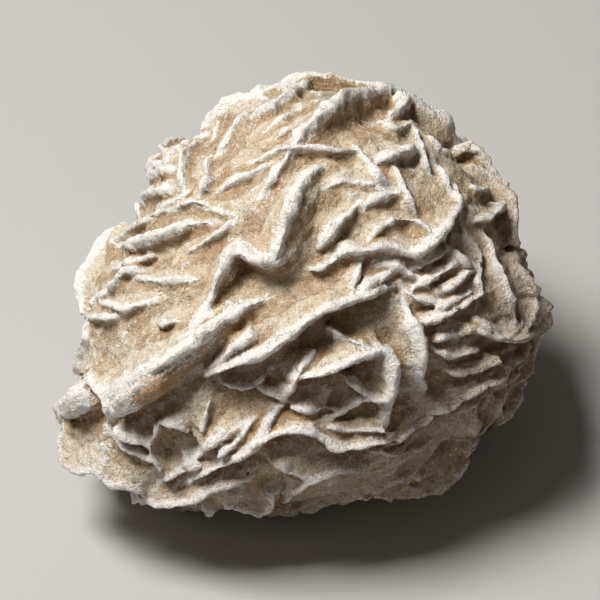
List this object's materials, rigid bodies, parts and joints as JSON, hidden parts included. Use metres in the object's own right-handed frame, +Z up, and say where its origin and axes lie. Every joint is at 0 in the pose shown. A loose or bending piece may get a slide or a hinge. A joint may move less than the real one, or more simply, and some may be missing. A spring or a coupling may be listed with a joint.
{
  "type": "gypsum sand rose",
  "caption": "Natural sand rose: a rounded cluster of thick, worn gypsum blades full of sand, flat underneath so that it rests steadily.",
  "frame": {"origin": "on the surface that the rose rests on, straight under the centre of its core", "axes": "+X to the right seen from the front, which is the longest way across; +Y to the back; +Z up, which is the shortest"},
  "size_m": [0.0993, 0.0902, 0.0826],
  "materials": {
    "sandy_gypsum": "rough, sandy, with pale worn rims"
  },
  "bodies": {
    "root": {"sand_rose": "sandy_gypsum"}
  },
  "joints": []
}
